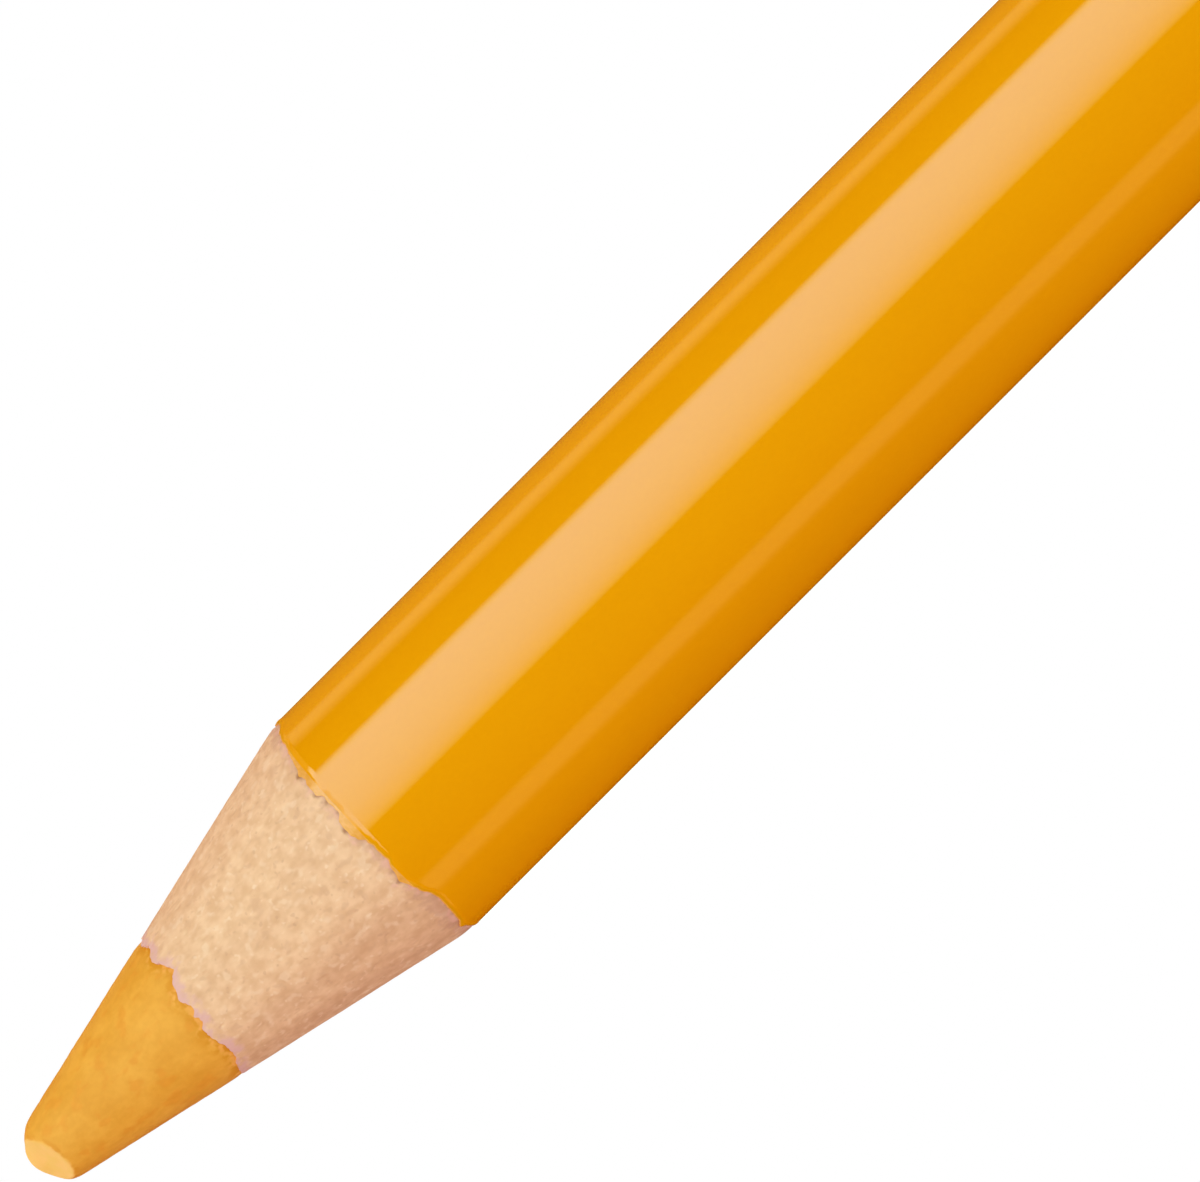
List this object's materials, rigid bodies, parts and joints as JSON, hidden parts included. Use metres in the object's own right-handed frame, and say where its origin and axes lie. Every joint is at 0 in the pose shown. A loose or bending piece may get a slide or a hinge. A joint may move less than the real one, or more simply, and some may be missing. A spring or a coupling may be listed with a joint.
{
  "type": "pastel pencil",
  "caption": "Round wood-cased pastel pencil with a glossy lacquered barrel, sharpened to a cone whose thick soft core is worn blunt.",
  "frame": {"origin": "middle of the flat butt end, on the barrel's axis", "axes": "+Z runs along the barrel from the butt end to the point, so the pencil stands upright; -Y is the front"},
  "size_m": [0.0076, 0.0076, 0.175],
  "materials": {
    "pastel": "matt pressed pigment stick, yellow orange",
    "wood": "bare cut softwood, fine grain along the pencil",
    "lacquer": "built-up glossy lacquer, yellow orange"
  },
  "bodies": {
    "root": {"lacquer_coat": "lacquer", "pastel_core": "pastel", "slat_back": "wood", "slat_front": "wood"}
  },
  "joints": []
}
